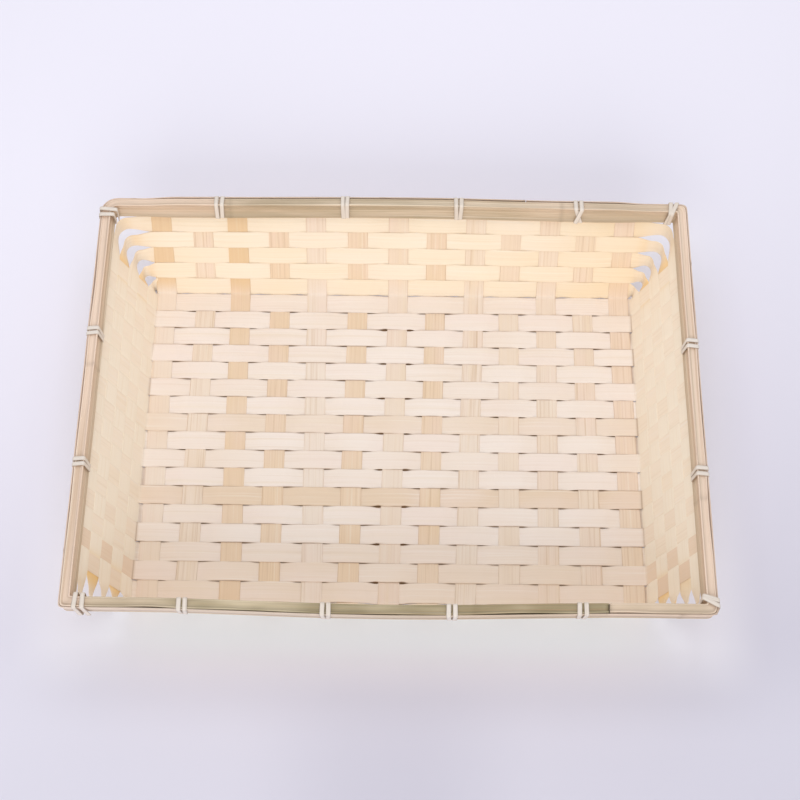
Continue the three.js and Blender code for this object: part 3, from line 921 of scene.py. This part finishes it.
# section of a rim hoop: rounded oblong as offsets up the slope and inward, with close rows beside each
# rounding
def rimOutline(height, thickness, radius):
    corners = np.array([[1, 1], [1, -1], [-1, -1], [-1, 1]], float)
    angles = np.radians([-18, 0, 30, 60, 90, 108])      # the first and last stand for the close rows
    beside = min(rimHoop["beside"], thickness / 5)
    turned = []
    for k, (up, inside) in enumerate(corners):
        turn = angles[::-1] if k % 2 == 0 else angles
        bow = np.clip(turn, 0, np.pi / 2)
        spread = np.stack([rimHoop["beside"] * (turn < 0), beside * (turn > np.pi / 2)], -1)
        rise = up * (height / 2 - radius + radius * np.sin(bow) - spread[:, 0])
        inward = inside * (thickness / 2 - radius + radius * np.cos(bow) - spread[:, 1])
        turned.append(np.stack([rise, inward], -1))
    return np.concatenate(turned)


# one along the back, easing to zero at its ends
def tallerAt(wall, along):
    past, before = rimHoop["tallerEnds"]
    return ease(wall["end"] + past, wall["end"] - before, np.abs(along)) * (wall["name"] == "back")


# straight or bowed stretch of a rim hoop along one wall; between two ties the slot gapes like a half wave
# squared
def rimOnWall(wall, low, high):
    along = evenPlaces(low, high, rimHoop["step"])
    slant = np.full(along.shape, wallSlant + rim["height"] / 2)
    middle = wallPoint(wall, along, slant)
    bounds = np.array([-wall["end"], *wall["ties"].values(), wall["end"]])
    bay = np.clip(np.searchsorted(bounds, along) - 1, 0, len(bounds) - 2)
    share = np.clip((along - bounds[bay]) / (bounds[bay + 1] - bounds[bay]), 0, 1)
    gape = np.array(rimHoop["gape"][wall["name"]])[bay] * np.sin(np.pi * share) ** 2
    green = np.interp(along, *zip(*rimHoop["green"][wall["name"]]))
    return [middle, np.broadcast_to(wall["normal"], middle.shape), green, gape, tallerAt(wall, along)]


# rim hoop round a corner: quarter of a rounded square, radius over the power mean of cosine and sine
def rimOnCorner(wall, ahead):
    angle = (np.arange(1, rimHoop["cornerSteps"]) / rimHoop["cornerSteps"] * np.pi / 2)[:, None]
    radius, power = rimHoop["corner"][wall["name"]]
    stretch = (np.cos(angle) ** power + np.sin(angle) ** power) ** (-1 / power)
    normal = (wall["normal"] * np.cos(angle) + wall["along"] * np.sin(angle)) * stretch
    level = wallPoint(wall, np.array(wall["end"]), np.array(wallSlant + rim["height"] / 2))[2]
    centre = wall["along"] * (ahead["reach"] + rimReach - radius)
    centre = centre + wall["normal"] * (wall["reach"] + rimReach - radius) + zUp * level
    turned = np.sin(angle[:, 0]) ** 2
    leave = rimHoop["green"][wall["name"]][-1][1]
    arrive = rimHoop["green"][ahead["name"]][0][1]
    green = leave * (1 - turned) + arrive * turned
    return [centre + normal * radius, normal, green, 0 * green, 0 * green]


# rim hoop: stretches from the seam right round; the section lies between the face at the slot and the face
# away from it
def rimMesh(name, seamWall, seam, knots, shape):
    near, far, seed = shape["near"], shape["far"], shape["seed"]
    first = wallNames.index(seamWall["name"])
    order = walls[first:] + walls[:first]
    stretches = []
    for index, wall in enumerate(order):
        ahead = order[(index + 1) % 4]
        full = ahead["reach"] + rimReach
        start = rimHoop["corner"][order[index - 1]["name"]][0] - full
        finish = full - rimHoop["corner"][wall["name"]][0]
        stretches.append(rimOnWall(wall, start if index else seam + rim["seam"] / 2, finish))
        stretches.append(rimOnCorner(wall, ahead))
    start = rimHoop["corner"][order[-1]["name"]][0] - order[1]["reach"] - rimReach
    stretches.append(rimOnWall(seamWall, start, seam - rim["seam"] / 2))
    middle, normal, green, gape, taller = [np.concatenate(parts) for parts in zip(*stretches)]
    run = travelled(middle)
    tilt = np.full(len(run), rim["tilt"])
    rise = riseOf(normal, tilt)[:, None]
    inward = inwardOf(normal, tilt)[:, None]
    thickness = abs(far - near)
    outline = rimOutline(rim["height"], thickness, min(rimHoop["round"], rimHoop["roundShare"] * thickness))
    away = np.sign(far - near)
    knot = np.exp(-((run[:, None] - np.array(knots)) / rimHoop["knotWidth"]) ** 2).sum(1)
    side = outline[:, 1] * away > 0                     # the face away from the slot
    top = outline[:, 0] > 0
    swell = np.abs(rimHoop["waver"] * wobble(seed, run, *rimHoop["faceWave"])[:, None])
    swell = swell + rimHoop["knotSwell"] * knot[:, None]
    crest = rimHoop["waver"] * wobble(seed + 1, run, *rimHoop["topWave"])[:, None]
    below, above = rimHoop["taller"]
    up = outline[:, 0] + np.where(top, crest + above * taller[:, None], -below * taller[:, None])
    out = (near + far) / 2 + outline[:, 1] + away * np.where(side, swell, shape["open"] * gape[:, None])
    out = out + away * shape["push"] * taller[:, None]
    points = middle[:, None] + rise * up[..., None] + inward * out[..., None]
    fibre = fibreMap(run[:, None], travelled(outline), seed, rimHoop["apart"])
    paling = ease(*rimHoop["palingSpan"], middle[:, 0])
    paling = paling * ease(*rimHoop["frontShare"], middle[:, 1] / halfDepth)
    return tubeMesh(name, points, fibre, {
        "green": green[:, None] * shape["green"],
        "paling": shape["paling"] * paling[:, None],
        "knot": np.clip(knot, 0, 1)[:, None],
        "top": ease(*rimHoop["topShare"], outline[:, 0] / rim["height"] * 2),
        "skin": side * 1.0,
    })


# split cane: straw to rose body, browner faces, olive where the skin shows, brown and pale streaks, dark
# joints
def caneFinish(name, look):
    paint = Finish(name)
    green = paint.value("green")
    face = paint.value("skin") * (1 - paint.value("top"))
    broad, fine, patch, spot = [
        paint.grain(*rimHoop["grain"][key]) for key in ("broad", "fine", "patch", "spot")]
    body = paint.mix(green, look["rose"], look["straw"])
    body = paint.mix(green * paint.step(patch, 0.3, 0.6) * 0.85, body, look["olive"])
    body = paint.mix(face * 0.8, body, look["face"])
    body = paint.mix(face * green * paint.step(patch, 0.4, 0.6) * 0.35, body, look["olive"])
    body = paint.mix(paint.step(broad, 0.52, 0.72) * 0.5, body, look["brown"])
    body = paint.mix((1 - paint.step(broad, 0.3, 0.46)) * 0.5, body, look["pale"])
    body = paint.mix(paint.step(fine, 0.52, 0.72) * 0.45, body, look["brown"])
    body = paint.mix(paint.value("paling"), body, look["paled"])
    body = paint.mix(paint.step(spot, 0.72, 0.82) * 0.3, body, look["knot"])
    body = paint.mix(paint.value("knot") * 0.18, body, look["knot"])
    return paint.finish({
        "Base Color": body,
        "Roughness": 0.4 + fine * 0.2,
        "Specular IOR Level": 0.4,
        "Normal": paint.bump(fine * 0.6 + broad * 0.4, 0.35, 0.0004),
    })


canePaint = caneFinish("rimCane", rimHoop["look"])
innerMesh = rimMesh("rimInner", frontWall, rim["innerSeam"], rimHoop["innerKnots"], rimHoop["inner"])
outerMesh = rimMesh("rimOuter", backWall, rim["outerSeam"], rimHoop["outerKnots"], rimHoop["outer"])
place("rimInnerHoop", innerMesh, canePaint, "rim_bamboo", "rim_inner_hoop")
place("rimOuterHoop", outerMesh, canePaint, "rim_bamboo", "rim_outer_hoop")
print("rim hoops: 2")

# Cord ties: two turns of flat cord round both rim hoops

tie = {
    "step": 0.12,
    "keep": 4,
    "soft": 3.0,
    "sectionPoints": 20,
    "squareness": 0.8,      # power of the section's height, flatter below one
    "strands": 3,
    "groove": 0.16,
    "lean": 0.15,
    "width": 2.35,
    "thickness": 0.62,
    "slack": 0.06,          # between the cord and the rim
    # places of the two turns along the rim: low on the outside, over the outer edge, over the inner edge and
    # at the inner foot
    "plain": {"outside": (-1.3, 1.3), "above": (-1.7, 1.7), "inside": (-1.6, 1.6), "foot": (-1.15, 1.15)},
    "crossed": {"outside": (-1.4, 1.4), "above": (-1.6, 1.6), "inside": (-1.6, 1.6), "foot": (1.5, -1.5)},
    "crossedNode": "back_tie_04",
    "over": 0.7,            # how far the second turn of a crossed tie lies over the first
    "closer": (0.78, 1.08),       # how close the two turns of a plain tie lie, least and most
    "closerSeed": 77,
    "edgePower": 6,         # how narrow the painted shade in the furrows at the cord's edges is
    "apart": (200, 17),
    "seed": 900,
    "cornerSeed": 950,
    "look": {
        "white": tint(236, 227, 218), "cream": tint(226, 213, 198), "shade": tint(184, 170, 156),
        "furrowShade": tint(140, 122, 104),
    },
    # noises of the cord, as grain takes them
    "grain": {"strand": (0.05, 2.4, 3.0, 0.6, 1.0), "thread": (0.6, 5.0, 2.0, 0.6, 4.0)},
}
cordDrop = tie["slack"] + tie["thickness"] / 2
cordReach = rimHalfSpan + cordDrop


# cord section: flattened round with shallow grooves between its strands
def cordOutline(width, thickness, strands):
    angle = np.linspace(0, 2 * np.pi, tie["sectionPoints"], endpoint=False)
    across = np.cos(angle)
    through = np.sign(np.sin(angle)) * np.abs(np.sin(angle)) ** tie["squareness"]
    ridge = 1 - tie["groove"] * (0.5 + 0.5 * np.cos(2 * np.pi * strands * (across + 1) / 2))
    return across * width / 2, through * ridge * thickness / 2


# winding: up the outside, over the top, down the inside, slanting across below, and round again
def windingPoints(inner, outer, low, high, places):
    bend = cord["bend"]
    outside, above, inside, foot = [places[key] for key in ("outside", "above", "inside", "foot")]

    # corner points of one turn, from low on the outside to the inner foot
    def turn(k):
        return [
            [outside[k], outer, low + bend],
            [above[k], outer, high - bend],
            [above[k], outer - bend, high],
            [inside[k], inner[k] + bend, high],
            [inside[k], inner[k], high - bend],
            [foot[k], inner[k], low + bend],
        ]

    under = [[foot[0], inner[0] + bend, low], [outside[1], outer - bend, low]]
    return np.array([*turn(0), *under, *turn(1)])


# cord along the corner points: even steps, softened bends, section square to the run with its width along
# the rim
def tieMesh(name, origin, axes, corners, seed):
    lengths = travelled(corners)
    run = np.arange(0, lengths[-1], tie["step"])
    path = np.stack([np.interp(run, lengths, corners[:, k]) for k in range(3)], -1)
    dice = np.random.default_rng(seed)
    lean = dice.uniform(-1, 1, 2)
    middle = (path[:, 2].max() + path[:, 2].min()) / 2
    tall = np.ptp(path[:, 2]) / 2
    which = np.where(run < lengths[-1] / 2, lean[0], lean[1])
    path[:, 0] += tie["lean"] * which * (path[:, 2] - middle) / tall
    path = soften(path, tie["soft"])
    heading = unit(np.gradient(path, axis=0))
    wide = unit(np.array([1.0, 0, 0]) - heading * heading[:, :1])
    deep = np.cross(heading, wide)
    across, through = cordOutline(tie["width"], tie["thickness"], tie["strands"])
    local = path[:, None] + wide[:, None] * across[:, None] + deep[:, None] * through[:, None]
    points = (origin + local @ axes)[::tie["keep"]]
    fibre = fibreMap(run[::tie["keep"], None], across, seed, tie["apart"])
    return tubeMesh(name, points, fibre, {
        "tone": dice.uniform(0, 1),
        "edge": np.abs(across / across.max()) ** tie["edgePower"],
    })


# cord: white to cream strands, grey shade along them, painted shade in the furrows at its edges, and faint
# cross fibres
def cordFinish(name, look):
    paint = Finish(name)
    strand = paint.grain(*tie["grain"]["strand"])
    thread = paint.grain(*tie["grain"]["thread"])
    body = paint.mix(paint.value("tone") * 0.6, look["white"], look["cream"])
    body = paint.mix(paint.step(strand, 0.5, 0.75) * 0.55, body, look["shade"])
    body = paint.mix(paint.step(thread, 0.55, 0.8) * 0.25, body, look["cream"])
    # painted shade in the furrows at the cord's edges
    body = paint.mix(paint.value("edge") * 0.6, body, look["furrowShade"])
    return paint.finish({
        "Base Color": body,
        "Roughness": 0.62 + thread * 0.2,
        "Specular IOR Level": 0.3,
        "Normal": paint.bump(strand * 0.6 + thread * 0.4, 0.5, 0.0003),
    })


cordPaint = cordFinish("tieCord", tie["look"])
closerDice = np.random.default_rng(tie["closerSeed"])


# a piece of cord round the rim, in the place of its node
def placeTie(node, origin, axes, corners, seed):
    place(f"cord_{node}", tieMesh(node, origin, axes, corners, seed), cordPaint, "tie_cord", node)


# tie along a wall: winding square to the tilted rim, taller and further out along the back
def wallTie(node, wall, along, seed):
    tilt = np.array(rim["tilt"])
    axes = np.stack([wall["along"], -inwardOf(wall["normal"], tilt), riseOf(wall["normal"], tilt)])
    isCrossed = node == tie["crossedNode"]
    inner = (-cordReach, -cordReach - tie["over"] * isCrossed)
    closer = 1.0 if isCrossed else closerDice.uniform(*tie["closer"])
    kind = tie["crossed" if isCrossed else "plain"]
    places = {key: closer * np.array(pair) for key, pair in kind.items()}
    below, above = np.array(rimHoop["taller"]) * tallerAt(wall, along)
    outer = cordReach + rimHoop["outer"]["push"] * tallerAt(wall, along)
    corners = windingPoints(inner, outer, -cordDrop - below, rim["height"] + cordDrop + above, places)
    placeTie(node, wallPoint(wall, np.array(along), np.array(wallSlant)), axes, corners, seed)


# corner tie: upright winding that also takes in the bend of the inner hoop
def cornerTie(node, wall, places, seed):
    ahead = walls[(wallNames.index(wall["name"]) + 1) % 4]
    lean = np.sin(rim["tilt"])
    outerSpan = rimHalfSpan * np.cos(rim["tilt"])
    outerFace = rimReach + rim["height"] / 2 * lean + outerSpan
    spot = ahead["reach"] + outerFace - cord["cornerInset"]
    radius = rimHoop["corner"][wall["name"]][0]
    innerRadius = radius - rim["height"] / 2 * lean - outerSpan
    edges = spot + np.maximum(places["inside"], places["foot"]) + tie["width"] / 2
    past = np.clip(edges - (ahead["reach"] + rimReach - radius), 0, innerRadius)
    inner = wall["reach"] + rimReach - radius + np.sqrt(innerRadius ** 2 - past ** 2) - cordDrop
    end = np.array(wall["end"])
    low = wallPoint(wall, end, np.array(wallSlant))[2] - rimHalfSpan * lean - cordDrop
    high = wallPoint(wall, end, np.array(wallSlant + rim["height"]))[2] + rimHalfSpan * lean + cordDrop
    corners = windingPoints(inner, wall["reach"] + outerFace + cordDrop, low, high, places)
    axes = np.stack([wall["along"], wall["normal"], zUp])
    placeTie(node, wall["along"] * spot, axes, corners, seed)


# each corner tie: the wall that it ends, and the places of its turns
cornerTies = {
    "back_left_corner_tie": (leftWall, {
        "outside": (-1.2, 2.6), "above": (-1.3, 2.7), "inside": (-1.2, 1.9), "foot": (0.3, 1.9)}),
    "back_right_corner_tie": (backWall, {
        "outside": (1.4, 5.0), "above": (1.6, 5.0), "inside": (0.9, 1.9), "foot": (-0.6, 0.9)}),
    "front_right_corner_tie": (rightWall, {
        "outside": (3.0, 5.6), "above": (3.2, 6.0), "inside": (1.0, 1.9), "foot": (0.7, 1.6)}),
    "front_left_corner_tie": (frontWall, {
        "outside": (-3.9, 0.1), "above": (-1.4, 2.5), "inside": (-1.4, 1.9), "foot": (-1.5, 1.4)}),
}
wallTies = [(node, wall, along) for wall in walls for node, along in wall["ties"].items()]
for number, (node, wall, along) in enumerate(wallTies):
    wallTie(node, wall, along, tie["seed"] + number)
for number, (node, (wall, places)) in enumerate(cornerTies.items()):
    cornerTie(node, wall, places, tie["cornerSeed"] + number)
print("cord ties:", len(wallTies) + len(cornerTies))

# Studio: pale floor, soft light from all round, camera at the photo's angle

studio = {
    # floor colours: far and near ends of the painted falloff of light, the painted pool of light, its cooler
    # front band, and the painted shadow beneath the tray
    "floorFar": tint(244, 242, 255),
    "floorNear": tint(198, 196, 211),
    "floorPool": tint(246, 245, 255),
    "floorFront": tint(238, 246, 255),
    "floorShade": tint(186, 146, 108),
    "floorSize": 12.0,
    "cloud": 0.06,                 # how far clouds shift the turn of the painted falloff from far to near, m
    "nearSlant": 0.35,             # how much nearer the right side counts
    "nearSpan": (-0.25, 0.5),
    # in front of the tray the painted falloff is less dark to the sides: how far off that comes and goes, how
    # far to the side it starts, and by how much
    "aheadRise": (0.1, 0.17),
    "aheadFall": (0.25, 0.5),
    "aheadSide": (0.01, 0.08),
    "aheadShare": 0.3,
    # oblongs on the floor, the painted pool of light and the painted shadow beneath the tray: half width,
    # front, back and how far they fade, m
    "pool": (0.162, -0.113, 0.137, 0.035),
    "poolShare": 0.85,
    "shade": (0.128, -0.09, 0.09, 0.005),
    # cooler band of the painted pool of light under the front rim
    "frontRise": (-0.135, -0.11),
    "frontFall": (-0.1, -0.08),
    "frontSide": (0.1, 0.17),
    "skyLight": 0.6,
    "skyTint": (0.99, 0.985, 1.0, 1.0),
    # lamps: place, aim, size and power
    "lamps": {
        "topLamp": ((-0.05, 0.15, 0.75), (0.0, 0.0, 0.02), 0.5, 1.3),
        "frontLamp": ((0.0, -2.6, 1.4), (0.0, 0.0, 0.02), 1.8, 36.0),
        "backLamp": ((0.0, 1.0, 0.7), (0.0, 0.6, 0.0), 0.8, 1.2),
    },
}
view = {
    "place": (5.8, -442.7, 861.4),     # mm
    "pitch": np.radians(61.39),
    "roll": np.radians(0.52),
    "yaw": np.radians(-0.18),
    "focal": 1781.5,                   # in pixels of the image
    "imageWidth": 800,
    "sensorWidth": 36.0,
}


# object matrix with three unit axes as columns and a place
def matrixOf(right, top, back, spot):
    return Matrix([[right[k], top[k], back[k], spot[k]] for k in range(3)] + [[0, 0, 0, 1]])


# square soft lamp at a spot, its back turned from what it aims at
def lamp(name, spot, aim, size, power):
    light = bpy.data.lights.new(name, "AREA")
    light.shape = "SQUARE"
    light.size = size
    light.energy = power
    holder = addObject(name, light)
    holder.visible_camera = False
    back = unit(np.array(spot) - np.array(aim))
    side = unit(np.cross([0.0, 1.0, 0.0] if abs(back[2]) > 0.9 else zUp, back))
    holder.matrix_world = matrixOf(side, np.cross(back, side), back, spot)


# floor: paler far off to the left and darker near the middle front, a painted falloff of light; palest round
# the tray, a painted pool of light; and brown beneath it, a painted shadow
def floorPiece():
    half = studio["floorSize"] / 2
    corners = [(-half, -half, 0), (half, -half, 0), (half, half, 0), (-half, half, 0)]
    mesh = bpy.data.meshes.new("floor")
    mesh.from_pydata(corners, [], [(0, 1, 2, 3)])
    paint = Finish("paleFloor")
    spot = paint.add("ShaderNodeTexCoord", {}, {}, 3)
    across = paint.add("ShaderNodeSeparateXYZ", {}, {0: spot}, 0)
    along = paint.add("ShaderNodeSeparateXYZ", {}, {0: spot}, 1)
    side = abs(across)

    # one inside an oblong, fading to zero past its edges
    def oblong(width, low, high, soft):
        depth = abs(along - (low + high) / 2)
        reach = (high - low) / 2
        return (1 - paint.step(side, width, width + soft)) * (1 - paint.step(depth, reach, reach + soft))

    cloud = paint.add("ShaderNodeTexNoise", {}, {"Vector": spot, "Scale": 1.3, "Detail": 1.0})
    # painted falloff of light: darker near the middle front, cloudy, less dark to the sides in front of the
    # tray
    near = across * studio["nearSlant"] - along + cloud * studio["cloud"]
    near = paint.step(near, *studio["nearSpan"])
    ahead = paint.band(0 - along, studio["aheadRise"], studio["aheadFall"])
    near = near * (1 - studio["aheadShare"] * paint.step(side, *studio["aheadSide"]) * ahead)
    body = paint.mix(near, studio["floorFar"], studio["floorNear"])
    # painted pool of light round the tray, cooler under the front rim
    front = paint.band(along, studio["frontRise"], studio["frontFall"])
    front = front * (1 - paint.step(side, *studio["frontSide"]))
    pool = paint.mix(front, studio["floorPool"], studio["floorFront"])
    body = paint.mix(oblong(*studio["pool"]) * studio["poolShare"], body, pool)
    # painted shadow beneath the tray
    body = paint.mix(oblong(*studio["shade"]), body, studio["floorShade"])
    mesh.materials.append(paint.finish({"Base Color": body, "Roughness": 0.75, "Specular IOR Level": 0.15}))
    floor = addObject("floor", mesh)


# sky: even light for the object, floor colour where the camera looks past the floor
def skyLight():
    world = bpy.data.worlds.new("sky")
    world.use_nodes = True
    bpy.context.scene.world = world
    paint = Finish("sky", world.node_tree)
    seen = paint.add("ShaderNodeLightPath", {}, {}, 0)
    strength = studio["skyLight"]
    light = paint.add("ShaderNodeBackground", {}, {"Color": studio["skyTint"], "Strength": strength})
    drop = paint.add("ShaderNodeBackground", {}, {"Color": studio["floorFar"], "Strength": 1.0})
    both = paint.add("ShaderNodeMixShader", {}, {0: seen, 1: light, 2: drop})
    paint.add("ShaderNodeOutputWorld", {}, {"Surface": both})


# camera: forward from yaw and pitch, right and up turned by the roll
def cameraAtPhoto():
    yaw, pitch, roll = view["yaw"], view["pitch"], view["roll"]
    forward = np.array([np.sin(yaw) * np.cos(pitch), np.cos(yaw) * np.cos(pitch), -np.sin(pitch)])
    level = np.array([np.cos(yaw), -np.sin(yaw), 0.0])
    above = np.cross(level, forward)
    right = np.cos(roll) * level + np.sin(roll) * above
    top = -np.sin(roll) * level + np.cos(roll) * above
    data = bpy.data.cameras.new("camera")
    data.sensor_fit = "HORIZONTAL"
    data.sensor_width = view["sensorWidth"]
    data.lens = view["focal"] / view["imageWidth"] * view["sensorWidth"]
    data.clip_start = 0.01
    data.clip_end = 50.0
    holder = addObject("camera", data)
    holder.matrix_world = matrixOf(right, top, -forward, np.array(view["place"]) * milli)
    bpy.context.scene.camera = holder


floorPiece()
skyLight()
for name, settings in studio["lamps"].items():
    lamp(name, *settings)
cameraAtPhoto()
bpy.context.scene.view_settings.view_transform = "Standard"
print("studio: floor, sky, three lamps, camera")
